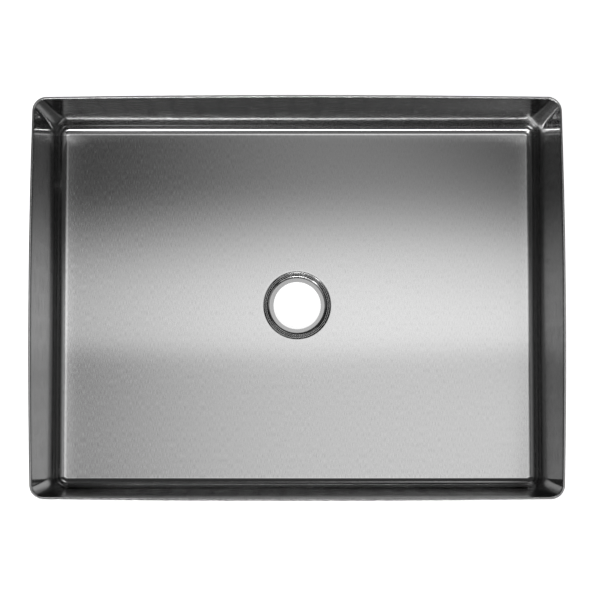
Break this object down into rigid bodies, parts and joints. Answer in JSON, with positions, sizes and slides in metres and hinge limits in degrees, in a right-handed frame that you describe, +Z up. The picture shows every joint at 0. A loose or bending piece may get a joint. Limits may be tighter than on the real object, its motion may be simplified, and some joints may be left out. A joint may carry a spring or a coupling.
{
  "type": "countertop basin",
  "caption": "Rectangular countertop basin of brushed stainless sheet with upright walls, a rounded floor fold and a pressed dish round a central drain hole.",
  "frame": {"origin": "on the drain hole's axis, in the plane of the worktop that the feet stand on", "axes": "+Z up out of the bowl, +X to the right along the long side, +Y to the back, towards the tap"},
  "size_m": [0.4748, 0.36, 0.14],
  "materials": {
    "floor_steel": "satin, belt-brushed front to back",
    "wall_steel": "satin, brushed along the walls",
    "rim_steel": "ground and buffed round",
    "seal_foam": "matt closed-cell foam",
    "deadening_rubber": "matt butyl sheet",
    "foot_rubber": "matt moulded rubber"
  },
  "bodies": {
    "root": {"floor_pan": "floor_steel", "wall_band": "wall_steel", "rim_strip": "rim_steel", "drain_seal": "seal_foam", "deadening_pad_left": "deadening_rubber", "deadening_pad_right": "deadening_rubber", "foot_front_left": "foot_rubber", "foot_front_right": "foot_rubber", "foot_back_left": "foot_rubber", "foot_back_right": "foot_rubber"}
  },
  "joints": []
}
